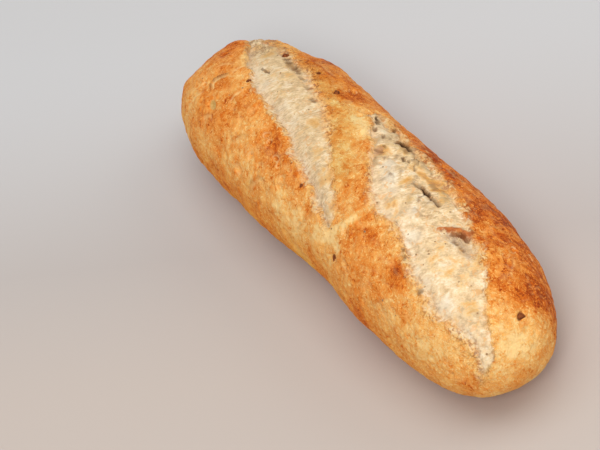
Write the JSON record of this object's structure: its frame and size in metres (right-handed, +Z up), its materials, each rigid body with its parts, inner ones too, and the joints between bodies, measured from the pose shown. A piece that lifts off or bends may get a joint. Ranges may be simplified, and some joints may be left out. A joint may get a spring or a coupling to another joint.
{
  "type": "baguette",
  "caption": "Short multigrain baguette lying on its flat underside, its crust opened by two long slanting slashes with pale burst crumb and fused grains.",
  "frame": {"origin": "bottom centre of the loaf's box, on the plane that it rests on", "axes": "+X along the loaf, towards the softer tip where the wide slash ends; +Y to the side where both slashes start; +Z up"},
  "size_m": [0.265, 0.078, 0.0583],
  "materials": {
    "crust": "satin"
  },
  "bodies": {
    "root": {"loaf": "crust"}
  },
  "joints": []
}
